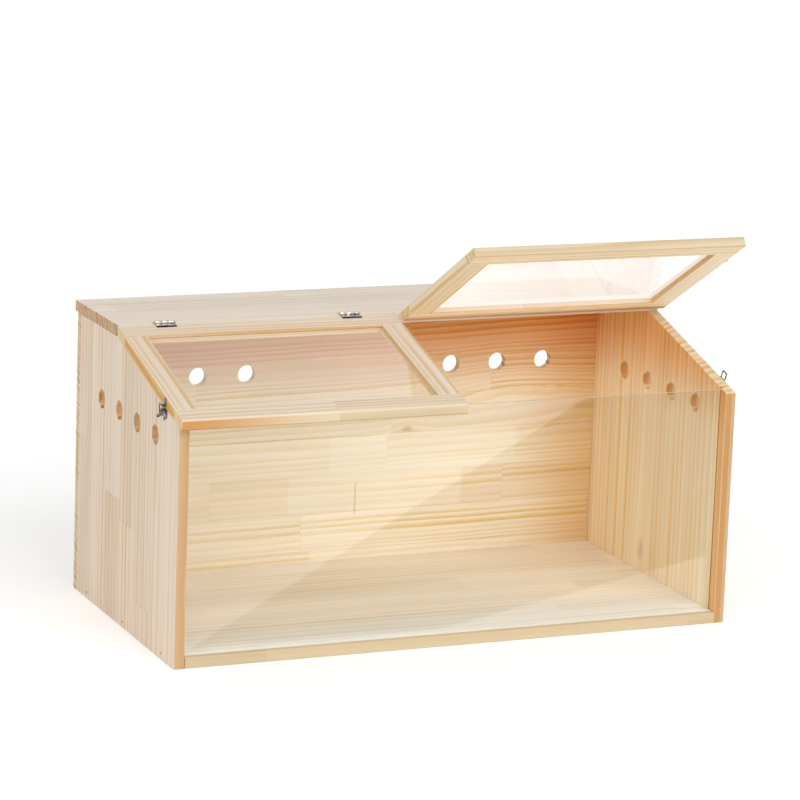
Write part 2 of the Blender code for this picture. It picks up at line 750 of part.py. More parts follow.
def make_latches(pivots, materials):
    nickel = materials["latch_nickel"]
    steel = materials["screw_steel"]
    base = base_mesh()
    lever = lever_mesh()
    loop = loop_mesh()
    keeper = keeper_mesh()
    pin_end = EAR_INNER + EAR_THICKNESS + PIVOT_PIN_END
    pin = make_mesh("latch_pin", rod(PIVOT_RADIUS, -pin_end, pin_end, "X", SMALL_SEGMENTS))
    screw = make_mesh("latch_screw", screw_shape())
    face = HARDWARE_GAP + LATCH_PLATE_THICKNESS
    for side, prefix in ((-1, "left_latch_"), (1, "right_latch_")):
        seat = add_pivot(prefix + "seat")
        seat.matrix_world = latch_place(side)
        add_object(prefix + "base_plate", base, nickel, seat)
        for index, along in enumerate((-BASE_SCREW_SIDE, BASE_SCREW_SIDE), 1):
            add_object(f"{prefix}base_screw_{index}", screw, steel, seat, (along, -BASE_SCREW_DROP, face))
        pivot_place = (0, -PIVOT_DROP, PIVOT_OUT)
        add_object(prefix + "pivot_pin", pin, materials["hinge_pin"], seat, pivot_place)
        lever_turn = Euler((-LEVER_LIFT, 0, 0))
        lever_item = add_object(prefix + "lever", lever, nickel, seat, pivot_place, lever_turn)
        loop_turn = Euler((LEVER_LIFT * (1 + LOOP_TILT_SHARE), 0, 0))
        add_object(prefix + "loop", loop, nickel, lever_item, (0, -LOOP_PIVOT_REACH, 0), loop_turn)
        holder = add_pivot(prefix + "holder", pivots[side])
        holder.matrix_local = keeper_place(side)
        add_object(prefix + "keeper", keeper, nickel, holder)
        keeper_face = LID_SIDE_OVERHANG + face
        add_object(prefix + "keeper_screw", screw, steel, holder, (0, KEEPER_SCREW_RISE, keeper_face))


def make_materials():
    return {
        "pine_panel": make_material("pine_panel", (0.78, 0.60, 0.41), 0.6),
        "pine_floor": make_material("pine_floor", (0.82, 0.67, 0.47), 0.6),
        "pine_back": make_material("pine_back", (0.80, 0.60, 0.38), 0.6),
        "pine_lid": make_material("pine_lid", (0.80, 0.64, 0.46), 0.55),
        "acrylic": make_material("acrylic", (0.92, 0.95, 0.95), 0.05, 0.0, 0.15),
        "hinge_chrome": make_material("hinge_chrome", (0.72, 0.72, 0.72), 0.15, 1.0),
        "hinge_pin": make_material("hinge_pin", (0.55, 0.55, 0.56), 0.25, 1.0),
        "latch_nickel": make_material("latch_nickel", (0.50, 0.50, 0.51), 0.22, 1.0),
        "screw_steel": make_material("screw_steel", (0.45, 0.45, 0.46), 0.3, 1.0),
    }


def build_cage():
    clear_scene()
    materials = make_materials()
    make_floor(materials["pine_floor"])
    make_back(materials["pine_back"])
    make_side(-1, "left_side_panel", materials["pine_panel"])
    make_side(1, "right_side_panel", materials["pine_panel"])
    make_top(materials["pine_panel"])
    make_window(materials["acrylic"])
    pivots = {
        -1: make_lid(-1, "left_lid", 0, materials),
        1: make_lid(1, "right_lid", RIGHT_LID_OPENING, materials),
    }
    make_hinges(pivots, materials)
    make_latches(pivots, materials)


build_cage()
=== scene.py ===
# Small animal cage: the finish of every board, sheet and fitting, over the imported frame.
# Metres, +Z up, the front faces -Y. Left and right are as seen from the front.

import json
import math

import bmesh
import bpy
from mathutils import Matrix, Vector


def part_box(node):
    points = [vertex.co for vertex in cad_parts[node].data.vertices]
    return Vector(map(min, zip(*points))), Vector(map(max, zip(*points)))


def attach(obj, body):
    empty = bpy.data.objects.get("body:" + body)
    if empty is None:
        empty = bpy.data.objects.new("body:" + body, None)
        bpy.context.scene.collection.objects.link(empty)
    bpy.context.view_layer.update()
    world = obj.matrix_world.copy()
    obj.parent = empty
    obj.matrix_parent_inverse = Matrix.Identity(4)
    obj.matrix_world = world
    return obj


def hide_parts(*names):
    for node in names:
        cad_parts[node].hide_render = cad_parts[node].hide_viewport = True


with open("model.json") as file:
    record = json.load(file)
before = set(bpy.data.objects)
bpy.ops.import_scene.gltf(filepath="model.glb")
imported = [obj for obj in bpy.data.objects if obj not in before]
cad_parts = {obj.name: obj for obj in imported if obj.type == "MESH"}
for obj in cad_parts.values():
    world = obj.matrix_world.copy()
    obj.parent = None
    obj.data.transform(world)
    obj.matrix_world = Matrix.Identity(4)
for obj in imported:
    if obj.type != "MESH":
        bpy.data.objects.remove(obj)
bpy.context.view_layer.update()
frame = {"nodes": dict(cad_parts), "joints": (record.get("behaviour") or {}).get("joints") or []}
print("frame loaded:", len(frame["nodes"]), "nodes")

smoothAngle = math.radians(35)
overrun = 0.004  # how far a cutter runs past what it cuts
closeBy = 0.0001  # nearer than this is the same place
weldGap = 0.00001  # closer vertices of a cut or spun shape are one


# The frame's own places

joints = {joint["name"]: joint for joint in frame["joints"]}
hinges = ((1, "left"), (2, "left"), (3, "right"), (4, "right"))
sideLow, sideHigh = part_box("left_side_panel")
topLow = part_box("top_panel")[0]
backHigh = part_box("back_panel")[1]
windowLow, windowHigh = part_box("front_window")

cage = {
    "frontHeight": 0.322,  # of a side panel, at its front edge
    "rearHeight": sideHigh.z,
    "kinkY": topLow.y,
    "frontY": sideLow.y,
    "halfWidth": -sideLow.x,
    "innerHalfWidth": -sideHigh.x,
    "lidOpening": math.radians(45),
}
cage["slope"] = math.atan2(cage["rearHeight"] - cage["frontHeight"], cage["kinkY"] - cage["frontY"])
lidTurn = {"left": cage["slope"], "right": cage["slope"] - cage["lidOpening"]}


def hingePlace(side):
    return Vector(joints[side + "_lid_hinge"]["pos_m"])


def lidPlace(side):
    # a lid's own frame: the hinge axis along X, Y up the slope and Z square to it
    return Matrix.Translation(hingePlace(side)) @ Matrix.Rotation(lidTurn[side], 4, "X")


def facingOut(side):
    # +Z out of the side panel's face and +Y up
    out = -1 if side == "left" else 1
    return Matrix(((0, 0, out), (out, 0, 0), (0, 1, 0))).to_4x4()


def boxIn(place, node):
    # lowest and highest corners of a node, measured in the axes of place
    back = place.inverted()
    points = [back @ vert.co for vert in frame["nodes"][node].data.vertices]
    low = Vector([min(point[axis] for point in points) for axis in range(3)])
    high = Vector([max(point[axis] for point in points) for axis in range(3)])
    return low, high


# Modelling


def blockShape(low, high):
    shape = bmesh.new()
    bmesh.ops.create_cube(shape, size=1)
    bmesh.ops.scale(shape, vec=high - low, verts=shape.verts)
    bmesh.ops.translate(shape, vec=(low + high) / 2, verts=shape.verts)
    return shape


def holeShape(radius, depth, place, axis, segments=64):
    shape = bmesh.new()
    bmesh.ops.create_cone(shape, cap_ends=True, segments=segments, radius1=radius, radius2=radius,
                          depth=depth)
    turn = {"X": Matrix.Rotation(math.pi / 2, 4, "Y"), "Y": Matrix.Rotation(math.pi / 2, 4, "X")}
    bmesh.ops.transform(shape, matrix=Matrix.Translation(place) @ turn.get(axis, Matrix()),
                        verts=shape.verts)
    return shape


def spinProfile(shape, profile, segments):
    # a line of radius and height pairs, taken full round about Z
    verts = [shape.verts.new((radius, 0, height)) for radius, height in profile]
    edges = [shape.edges.new(pair) for pair in zip(verts, verts[1:])]
    bmesh.ops.spin(shape, geom=verts + edges, cent=(0, 0, 0), axis=(0, 0, 1), angle=math.tau,
                   steps=segments, use_merge=True)


def closeShape(shape):
    bmesh.ops.remove_doubles(shape, verts=shape.verts, dist=weldGap)
    bmesh.ops.recalc_face_normals(shape, faces=shape.faces)


def bevelWhere(shape, chosen, width, segments):
    edges = [edge for edge in shape.edges if chosen(*[vert.co for vert in edge.verts])]
    bmesh.ops.bevel(shape, geom=edges, offset=width, segments=segments, profile=0.5,
                    affect="EDGES", material=-1, clamp_overlap=True)


def frontTopEdge(low, high):
    # picks a block's long upper edge toward the front
    middle = (low + high) / 2
    return lambda start, end: max(start.y, end.y) < middle.y and min(start.z, end.z) > middle.z


def addObject(name, data):
    item = bpy.data.objects.new(name, data)
    bpy.context.scene.collection.objects.link(item)
    return item


def makeObject(name, shape):
    mesh = bpy.data.meshes.new(name)
    shape.to_mesh(mesh)
    shape.free()
    mesh.shade_smooth()
    return addObject(name, mesh)


def applied(item):
    graph = bpy.context.evaluated_depsgraph_get()
    mesh = bpy.data.meshes.new_from_object(item.evaluated_get(graph))
    item.modifiers.clear()
    item.data = mesh
    return item


def carve(item, shapes):
    tools = []
    for shape in shapes:
        tools.append(makeObject("cutter", shape))
        boolean = item.modifiers.new("carve", "BOOLEAN")
        boolean.operation = "DIFFERENCE"
        boolean.solver = "EXACT"
        boolean.object = tools[-1]
    applied(item)
    for tool in tools:
        bpy.data.objects.remove(tool, do_unlink=True)


def easeEdges(item, width, segments=3):
    bevel = item.modifiers.new("eased edges", "BEVEL")
    bevel.width = width
    bevel.segments = segments
    bevel.limit_method = "ANGLE"
    bevel.angle_limit = smoothAngle
    bevel.harden_normals = True
    return applied(item)


def dress(item, nodes, body, material):
    # the piece stands for its nodes, moves with their body and takes its finish from a slot
    item.data.materials.clear()
    item.data.materials.append(material)
    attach(item, body)
    if nodes:
        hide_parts(*nodes)


# Shader helpers


def paint(red, green, blue):
    # a colour as read off a picture, 0 to 255, in the renderer's own scale
    shares = [value / 255 for value in (red, green, blue)]
    return tuple(x / 12.92 if x < 0.04045 else ((x + 0.055) / 1.055) ** 2.4 for x in shares) + (1.0,)


def feed(tree, node, inputs):
    for socket, value in inputs.items():
        if isinstance(value, bpy.types.NodeSocket):
            tree.links.new(value, node.inputs[socket])
        else:
            node.inputs[socket].default_value = value


def put(tree, kind, inputs=None, **settings):
    node = tree.nodes.new("ShaderNode" + kind)
    for name, value in settings.items():
        setattr(node, name, value)
    feed(tree, node, inputs or {})
    return node


def useGroup(tree, group, inputs):
    node = tree.nodes.new("ShaderNodeGroup")
    node.node_tree = group
    feed(tree, node, inputs)
    return node.outputs


def newGroup(name, inputs, outputs):
    # the sockets' names come listed by kind
    tree = bpy.data.node_groups.new(name, "ShaderNodeTree")
    for direction, sockets in (("INPUT", inputs), ("OUTPUT", outputs)):
        for kind, labels in sockets.items():
            for label in labels:
                tree.interface.new_socket(label, in_out=direction, socket_type="NodeSocket" + kind)
    return tree, tree.nodes.new("NodeGroupInput").outputs, tree.nodes.new("NodeGroupOutput")


def newMaterial(name):
    material = bpy.data.materials.new(name)
    material.use_nodes = True
    tree = material.node_tree
    return material, tree, tree.nodes["Principled BSDF"]


def sums(tree, operation, *values, clamp=False):
    return put(tree, "Math", dict(enumerate(values)), operation=operation, use_clamp=clamp).outputs[0]


def product(tree, first, second, clamp=False):
    return sums(tree, "MULTIPLY", first, second, clamp=clamp)


def linear(tree, value, factor, base):
    return sums(tree, "MULTIPLY_ADD", value, factor, base)


def varied(tree, base, chance, amount):
    # base, moved up to half of amount either way as chance runs from 0 to 1
    return linear(tree, sums(tree, "SUBTRACT", chance, 0.5), amount, base)


def mixed(tree, share, first, second, way="MIX"):
    return put(tree, "Mix", {0: share, 6: first, 7: second}, data_type="RGBA", blend_type=way).outputs[2]


def eased(tree, value, low, high, start=0.0, end=1.0):
    return put(tree, "MapRange", {0: value, 1: low, 2: high, 3: start, 4: end},
               interpolation_type="SMOOTHSTEP").outputs[0]


def within(tree, share, value, start, end, edge):
    # what is left of share where value lies between start and end, with soft edges
    share = product(tree, share, eased(tree, value, start, start + edge))
    return product(tree, share, eased(tree, value, end - edge, end, 1.0, 0.0))


def noise(tree, vector, scale, detail=2.0, roughness=0.5):
    return put(tree, "TexNoise", {"Vector": vector, "Scale": scale, "Detail": detail,
                                  "Roughness": roughness}).outputs[0]


def scaled(tree, vector, factors):
    return put(tree, "VectorMath", {0: vector, 1: factors}, operation="MULTIPLY").outputs[0]


def facing(tree, spot, turn, axis):
    # 1 where the surface looks along axis, which is turned about X first, 0 where it is side-on
    axis = Matrix.Rotation(turn, 3, "X") @ Vector(axis)
    return put(tree, "VectorMath", {0: spot.outputs["Normal"], 1: axis},
               operation="DOT_PRODUCT").outputs["Value"]


def bumped(tree, shader, height, strength, distance):
    bump = put(tree, "Bump", {"Height": height, "Strength": strength, "Distance": distance})
    tree.links.new(bump.outputs[0], shader.inputs["Normal"])


def blendSurface(tree, share, first, second):
    mix = put(tree, "MixShader", {0: share, 1: first.outputs[0], 2: second.outputs[0]})
    tree.links.new(mix.outputs[0], tree.nodes["Material Output"].inputs["Surface"])


# Pine. In grain coordinates X runs along the grain, Y across the face and Z into the board.

growth = {
    "seedStep": 7.31,
    # where the tree's heart lies: aside of the stave, under it, and how it leans and strays
    "pithAside": 0.10, "pithDepth": 0.025, "pithDepthRange": 0.05, "lean": 0.024,
    "strayScale": (2.2, 9.0, 9.0), "strayRoughness": 0.45, "wobble": 0.010,
    "rippleScale": (6.0, 3.5, 3.5), "ripple": 0.0018,
    # runs of slow years and odd years, in rings
    "slowScale": 0.2, "slowYears": 2.8, "oddScale": 0.8, "oddYears": 0.55,
    # where in a ring the late wood is full and where it ends, and the palest ring's strength
    "lateFull": 0.92, "lateEnd": 0.955, "ringLeast": 0.3,
    "fadeScale": (0.9, 2.5, 2.5), "fadeRange": (0.32, 0.68), "fadeLeast": 0.35,
    "fibreScale": (7.0, 520.0, 520.0), "fibreRoughness": 0.6, "fibreTone": 0.16,
    "streakScale": (0.6, 1.6, 1.6), "streakRoughness": 0.65, "streakTone": -0.36,
    "seamRange": (0.0001, 0.0006), "seamTone": -0.10,
    "richness": 1.4,  # darker wood is this much richer in colour
    "gloss": {"plain": 0.58, "late": -0.10, "fibre": 0.12},
    "height": {"late": 0.5, "fibre": 0.8, "seam": -0.8},
}
grainChoices = ["staveStart", "staveWidth", "staveLength", "staveTone", "ringSpacing", "seed",
                "contrast", "aside", "lateShare", "lean"]


def buildPineGrain():
    tree, given, out = newGroup(
        "pineGrain",
        {"Vector": ["Vector"], "Float": grainChoices + ["Swell"], "Color": ["early", "late"]},
        {"Color": ["Color"], "Float": ["Roughness", "Height", "Ring"]},
    )
    seed, width = given["seed"], given["staveWidth"]
    along, across, depth = put(tree, "SeparateXYZ", {0: given["Vector"]}).outputs

    # which stave of the glued board this is, and that stave's own chances
    acrossShare = sums(tree, "DIVIDE", sums(tree, "SUBTRACT", across, given["staveStart"]), width)
    row = sums(tree, "FLOOR", acrossShare)
    rowSeed = linear(tree, seed, growth["seedStep"], row)
    shift = put(tree, "TexWhiteNoise", {"W": rowSeed}, noise_dimensions="1D").outputs[0]
    alongShare = sums(tree, "ADD", sums(tree, "DIVIDE", along, given["staveLength"]), shift)
    column = sums(tree, "FLOOR", alongShare)
    cell = put(tree, "CombineXYZ", {0: column, 1: row, 2: seed}).outputs[0]
    chance = put(tree, "TexWhiteNoise", {"Vector": cell}, noise_dimensions="3D")
    draws = put(tree, "SeparateColor", {0: chance.outputs["Color"]}).outputs

    # the heart of the tree lies aside of and under the stave, and leans along it
    seeded = put(tree, "CombineXYZ", {0: rowSeed, 1: seed, 2: column}).outputs[0]
    strayVector = put(tree, "VectorMath", {0: scaled(tree, given["Vector"], growth["strayScale"]),
                                           1: seeded}, operation="ADD").outputs[0]
    stray = noise(tree, strayVector, 1.0, 2.0, growth["strayRoughness"])
    ripple = noise(tree, scaled(tree, strayVector, growth["rippleScale"]), 1.0, 1.0)
    lean = varied(tree, given["lean"], draws[2], growth["lean"])
    aside = linear(tree, draws[0], growth["pithAside"], given["aside"])
    middle = linear(tree, sums(tree, "ADD", row, 0.5), width, given["staveStart"])
    fromHeart = sums(tree, "SUBTRACT", sums(tree, "SUBTRACT", across, middle), aside)
    fromHeart = linear(tree, lean, along, fromHeart)
    fromHeart = varied(tree, fromHeart, stray, growth["wobble"])
    fromHeart = varied(tree, fromHeart, ripple, growth["ripple"])
    heartDepth = linear(tree, draws[1], growth["pithDepthRange"], growth["pithDepth"])
    below = linear(tree, lean, along, sums(tree, "ADD", depth, heartDepth))
    squares = [sums(tree, "POWER", length, 2.0) for length in (fromHeart, below)]
    radius = sums(tree, "ADD", sums(tree, "SQRT", sums(tree, "ADD", *squares)), given["Swell"])

    # rings: a slow rise to a dark line, then a sharp fall, each ring with its own strength
    turns = sums(tree, "DIVIDE", radius, given["ringSpacing"])
    years = put(tree, "CombineXYZ", {0: turns, 1: rowSeed}).outputs[0]
    turns = linear(tree, noise(tree, years, growth["slowScale"], 1.0), growth["slowYears"], turns)
    turns = linear(tree, noise(tree, years, growth["oddScale"], 0.0), growth["oddYears"], turns)
    ringShare = sums(tree, "FRACT", turns)
    early = sums(tree, "SUBTRACT", 1.0, given["lateShare"])
    ring = product(tree, eased(tree, ringShare, early, growth["lateFull"]),
                   eased(tree, ringShare, growth["lateEnd"], 1.0, 1.0, 0.0))
    ringSeed = put(tree, "CombineXYZ", {0: sums(tree, "FLOOR", turns), 1: rowSeed, 2: column})
    ringChance = put(tree, "TexWhiteNoise", {"Vector": ringSeed.outputs[0]}, noise_dimensions="3D")
    least = growth["ringLeast"]
    ring = product(tree, ring, linear(tree, ringChance.outputs[0], 1.0 - least, least))
    fadeNoise = noise(tree, scaled(tree, strayVector, growth["fadeScale"]), 1.0, 1.0)
    fade = eased(tree, fadeNoise, *growth["fadeRange"], growth["fadeLeast"], 1.0)
    late = product(tree, product(tree, ring, fade), given["contrast"], clamp=True)

    # fibres and broad streaks, both drawn out along the grain
    fibreVector = scaled(tree, given["Vector"], growth["fibreScale"])
    fibre = noise(tree, fibreVector, 1.0, 3.0, growth["fibreRoughness"])
    streakVector = scaled(tree, strayVector, growth["streakScale"])
    streak = noise(tree, streakVector, 1.0, 3.0, growth["streakRoughness"])
    level = varied(tree, 1.0, fibre, growth["fibreTone"])
    level = varied(tree, level, streak, growth["streakTone"])
    level = varied(tree, level, chance.outputs["Value"], given["staveTone"])

    # the glue lines between staves
    seams = []
    for share, size in ((acrossShare, width), (alongShare, given["staveLength"])):
        part = sums(tree, "FRACT", share)
        edge = sums(tree, "MINIMUM", part, sums(tree, "SUBTRACT", 1.0, part))
        seams.append(eased(tree, product(tree, edge, size), *growth["seamRange"], 1.0, 0.0))
    seam = sums(tree, "MAXIMUM", *seams)
    level = linear(tree, seam, growth["seamTone"], level)

    base = mixed(tree, late, given["early"], given["late"])
    richness = linear(tree, sums(tree, "SUBTRACT", 1.0, level), growth["richness"], 1.0)
    colour = put(tree, "HueSaturation", {"Saturation": richness, "Value": level, "Color": base})
    gloss, heights = growth["gloss"], growth["height"]
    rough = linear(tree, late, gloss["late"], gloss["plain"])
    height = linear(tree, late, heights["late"], product(tree, fibre, heights["fibre"]))
    feed(tree, out, {"Color": colour.outputs[0], "Ring": ring,
                     "Roughness": varied(tree, rough, fibre, gloss["fibre"]),
                     "Height": linear(tree, seam, heights["seam"], height)})
    return tree


knotShape = {"squash": (0.45, 1.0, 0.0), "strayScale": (60.0, 90.0, 0.0), "stray": 0.25,
             "core": (0.10, 0.42)}


def buildPineKnot():
    # swells the rings round a centre and marks the knot's brown heart
    tree, given, out = newGroup(
        "pineKnot",
        {"Vector": ["Vector", "centre"], "Float": ["size", "swell", "heart"]},
        {"Float": ["Swell", "Core"]},
    )
    away = put(tree, "VectorMath", {0: given["Vector"], 1: given["centre"]}, operation="SUBTRACT")
    flat = scaled(tree, away.outputs[0], knotShape["squash"])
    reach = put(tree, "VectorMath", {0: flat}, operation="LENGTH").outputs["Value"]
    stray = noise(tree, scaled(tree, given["Vector"], knotShape["strayScale"]), 1.0, 2.0)
    distance = varied(tree, sums(tree, "DIVIDE", reach, given["size"]), stray, knotShape["stray"])
    fall = sums(tree, "EXPONENT", product(tree, sums(tree, "POWER", distance, 2.0), -1.0))
    core = eased(tree, distance, *knotShape["core"], 1.0, 0.0)
    feed(tree, out, {"Swell": product(tree, fall, given["swell"]),
                     "Core": product(tree, core, given["heart"])})
    return tree


pineGrain = buildPineGrain()
pineKnot = buildPineKnot()

pineFinish = {
    "specular": 0.35, "bump": 0.25, "bumpDistance": 0.0004,
    "turnedTo": (0.6, 0.9),  # from not facing an axis to fully facing it
    "bored": (0.3, 0.6),  # from a vent's wall to the board's face
    "staveEdge": 0.0006, "ventEdge": 0.001,
}


def pineMaterial(name, board):
    # board gives the grain's axes, the staves, the colours and the knots of one board
    material, tree, shader = newMaterial(name)
    spot = put(tree, "TexCoord")
    turned = put(tree, "Mapping", {"Vector": spot.outputs["Object"], "Location": board["origin"],
                                   "Rotation": (board["turn"], 0, 0)}, vector_type="TEXTURE")
    axes = put(tree, "SeparateXYZ", {0: turned.outputs[0]}).outputs
    order = ["XYZ".index(axis) for axis in board["grain"]]
    under = sums(tree, "SUBTRACT", axes[order[2]], board["face"])
    grain = put(tree, "CombineXYZ", {0: axes[order[0]], 1: axes[order[1]], 2: under}).outputs[0]

    def squareTo(number):
        # 1 where a face lies square to one of the grain's axes
        axis = [place == order[number] for place in range(3)]
        return sums(tree, "ABSOLUTE", facing(tree, spot, board["turn"], axis))

    swell, core = 0.0, 0.0
    for knot in board["knots"]:
        found = useGroup(tree, pineKnot, {"Vector": grain, **knot})
        swell = sums(tree, "ADD", found["Swell"], swell)
        core = sums(tree, "MAXIMUM", found["Core"], core)
    pine = useGroup(tree, pineGrain, {
        "Vector": grain, "Swell": swell, "early": paint(*board["early"]), "late": paint(*board["late"]),
        **{choice: board[choice] for choice in grainChoices},
    })
    colour = pine["Color"]
    for stave in board["staves"]:
        share = stave["share"]
        for axis, (start, end) in zip(order, (stave["along"], stave["across"])):
            share = within(tree, share, axes[axis], start, end, pineFinish["staveEdge"])
        colour = mixed(tree, share, colour, paint(*stave["colour"]))
    for tint in board["tints"]:
        share = tint["share"]
        if tint["axis"]:
            share = eased(tree, axes["XYZ".index(tint["axis"])], tint["start"], tint["end"], 0.0, share)
        if tint["facing"]:
            toward = facing(tree, spot, board["turn"], tint["facing"])
            share = product(tree, share, eased(tree, toward, *pineFinish["turnedTo"]))
        if tint["ring"]:
            # deeper on the late wood than between, and about as deep on the whole
            deeper = linear(tree, pine["Ring"], tint["ring"], 1.0 - tint["ring"] / 3)
            share = product(tree, share, deeper, clamp=True)
        colour = mixed(tree, share, colour, paint(*tint["colour"]), "MULTIPLY")
    if board["vents"]:
        # the bored walls show warmer wood
        share = eased(tree, squareTo(2), *pineFinish["bored"], 1.0, 0.0)
        blur = pineFinish["ventEdge"]
        for axis, (start, end) in zip(order, board["vents"]):
            share = within(tree, share, axes[axis], start - blur, end + blur, blur)
        colour = mixed(tree, share, colour, paint(*board["ventColour"]), "MULTIPLY")
    if board["knots"]:
        colour = mixed(tree, core, colour, paint(*board["knotColour"]))

    # end grain is darker, with the rings standing out
    endGrain = eased(tree, squareTo(0), *pineFinish["turnedTo"])
    colour = mixed(tree, endGrain, colour, paint(*board["endGrain"]), "MULTIPLY")
    ringEnd = product(tree, endGrain, pine["Ring"])
    colour = mixed(tree, ringEnd, colour, paint(*board["ringEnd"]), "MULTIPLY")
    feed(tree, shader, {"Base Color": colour, "Roughness": pine["Roughness"],
                        "Specular IOR Level": pineFinish["specular"]})
    bumped(tree, shader, pine["Height"], pineFinish["bump"], pineFinish["bumpDistance"])
    return material


# The boards' finishes

toFront, toLeft, toTop, toBottom = (0, -1, 0), (-1, 0, 0), (0, 0, 1), (0, 0, -1)
ventHeight, sideVents, backVents = (0.275, 0.307), (-0.125, 0.122), (-0.32, 0.32)


def tinted(colour, facing=None, axis=None, start=0.0, end=0.0, share=1.0, ring=0.0):
    # a colour multiplied over the board: on the faces that look one way or on all,
    # everywhere or coming in from start to end along one axis
    return {"colour": colour, "facing": facing, "axis": axis, "start": start, "end": end,
            "share": share, "ring": ring}


def staved(along, across, share, colour):
    # one stave that stands out: its stretch along and across the grain
    return {"along": along, "across": across, "share": share, "colour": colour}


palePine = {
    "origin": (0, 0, 0), "turn": 0.0, "face": 0.0,
    "staveStart": 0.0, "staveWidth": 0.061, "staveLength": 0.62, "staveTone": 0.04,
    "ringSpacing": 0.0125, "contrast": 0.85, "aside": 0.06, "lateShare": 0.65, "lean": 0.0,
    "early": (239, 220, 199), "late": (220, 173, 100), "endGrain": (234, 216, 190),
    "ringEnd": (200, 160, 120), "knotColour": (150, 92, 50), "ventColour": (255, 246, 232),
    "staves": [], "tints": [], "knots": [], "vents": None,
}
boards = {
    "left_side_panel": {
        **palePine, "grain": "ZYX", "face": -0.4, "seed": 3.0, "staveStart": 0.024,
        "vents": (ventHeight, sideVents),
        "staves": [staved((0.171, 0.40), (0.024, 0.085), 0.40, (246, 232, 214)),
                   staved((-0.01, 0.171), (0.024, 0.085), 0.30, (222, 190, 154))],
        "tints": [tinted((212, 181, 134), toFront, "X", -0.4004, -0.3990, 0.85, ring=0.5)],
    },
    "right_side_panel": {
        **palePine, "grain": "ZYX", "face": 0.385, "seed": 8.0,
        "staveWidth": 0.10, "staveLength": 1.40, "staveTone": 0.03,
        "contrast": 1.0, "lateShare": 0.70, "aside": 0.09,
        "early": (255, 235, 203), "late": (248, 202, 120), "endGrain": (236, 230, 222),
        "ringEnd": (240, 226, 208), "vents": (ventHeight, sideVents),
        "tints": [tinted((216, 176, 126), toFront, "X", 0.396, 0.393, 0.85),
                  tinted((240, 228, 210), toFront, "X", 0.38, 0.384),
                  tinted((224, 221, 222), toFront, "X", 0.393, 0.396),
                  tinted((236, 206, 170), toLeft, "Y", -0.1832, -0.1840),
                  # painted shade: the inner face darker and more orange toward the top, under the top
                  # board, partly the wood's own warmer tone
                  tinted((234, 178, 110), toLeft, "Z", 0.25, 0.37, 0.88, ring=0.25)],
        "knots": [{"centre": (0.045, 0.030, 0), "size": 0.025, "swell": 0.010, "heart": 0.25}],
    },
    "floor_panel": {
        **palePine, "grain": "XYZ", "seed": 14.0, "staveWidth": 0.075,
        "ringSpacing": 0.0095, "contrast": 0.9, "early": (255, 253, 247), "late": (242, 220, 184),
        # painted shade: darker along the front sill and over its rounded edge, where the front lamp lights
        # most
        "tints": [tinted((210, 191, 160), None, "Y", -0.19, -0.194),
                  # painted light and shade: the floor's top a little darker toward the back, lighter at the
                  # front where more light falls
                  tinted((254, 245, 235), toTop, "Y", -0.175, -0.03)],
    },
    "top_panel": {
        **palePine, "grain": "XYZ", "face": 0.389, "seed": 21.0, "staveWidth": 0.060,
        "ringSpacing": 0.010, "contrast": 0.8, "early": (232, 220, 204), "late": (212, 190, 164),
        "endGrain": (232, 206, 174),
    },
    "back_panel": {
        **palePine, "grain": "XZY", "face": 0.2, "seed": 30.0,
        "staveStart": 0.030, "staveWidth": 0.055, "staveLength": 0.45, "contrast": 1.0,
        "ringSpacing": 0.0078, "lateShare": 0.80, "lean": -0.02, "aside": 0.07,
        "early": (248, 233, 212), "late": (232, 194, 104), "endGrain": (240, 230, 214),
        "ringEnd": (216, 186, 152), "vents": (backVents, ventHeight),
        "staves": [staved((-0.027, 0.262), (0.140, 0.195), 0.30, (255, 248, 228)),
                   staved((-0.40, -0.0885), (0.085, 0.140), 0.15, (230, 190, 140)),
                   staved((0.178, 0.40), (0.085, 0.140), 0.15, (228, 184, 132)),
                   staved((-0.0885, 0.178), (0.085, 0.140), 0.15, (254, 244, 222)),
                   staved((0.0120, 0.0152), (0.080, 0.126), 0.35, (176, 120, 74))],  # a brown mark
        # painted shade: darker and more orange toward the top, where the top board shades the wall, partly
        # the wood's own warmer tone
        "tints": [tinted((240, 164, 74), toFront, "Z", 0.23, 0.36, 0.9, ring=0.25),
                  tinted((240, 208, 160), toFront, "X", 0.24, 0.39, 0.8)],
        "knots": [{"centre": (0.0909, 0.201, 0), "size": 0.014, "swell": 0.006, "heart": 0.35},
                  {"centre": (0.2500, 0.258, 0), "size": 0.045, "swell": 0.016, "heart": 0.0},
                  {"centre": (0.3700, 0.222, 0), "size": 0.032, "swell": 0.012, "heart": 0.15}],
    },
}
lidPine = {
    **palePine, "staveWidth": 0.36, "staveLength": 1.4, "ringSpacing": 0.0075, "contrast": 1.0,
    "lateShare": 0.7, "aside": 0.02, "early": (254, 236, 204), "late": (230, 188, 116),
    "endGrain": (244, 236, 222), "ringEnd": (242, 230, 212),
    "tints": [tinted((230, 229, 239), toTop),
              tinted((214, 168, 112), toFront, "Z", -0.0142, -0.0164, 0.8)],
}
lidTints = {
    # painted shade: the pale grey tints on the rails' faces that look down the slope darken the faces the
    # front lamps light most
    "left_lid_rear_rail": [tinted((240, 224, 220), toFront)],
    "right_lid_rear_rail": [tinted((240, 224, 220), toFront),
                            # painted shade: the open lid's rear rail darker on its underside toward the
                            # hinge, where it meets the top board
                            tinted((206, 148, 92), toBottom, "Y", -0.022, -0.012, 0.85)],
    "right_lid_front_rail": [tinted((218, 217, 215), toFront)],
    "left_lid_front_rail": [tinted((226, 223, 216), toFront),
                            tinted((236, 176, 98), toFront, "X", 0.02, -0.20, 0.85)],
    "left_lid_left_stile": [tinted((232, 202, 146), toLeft)],
    "left_lid_right_stile": [tinted((250, 226, 200), toLeft)],
    "right_lid_right_stile": [tinted((244, 222, 198), toLeft)],
}
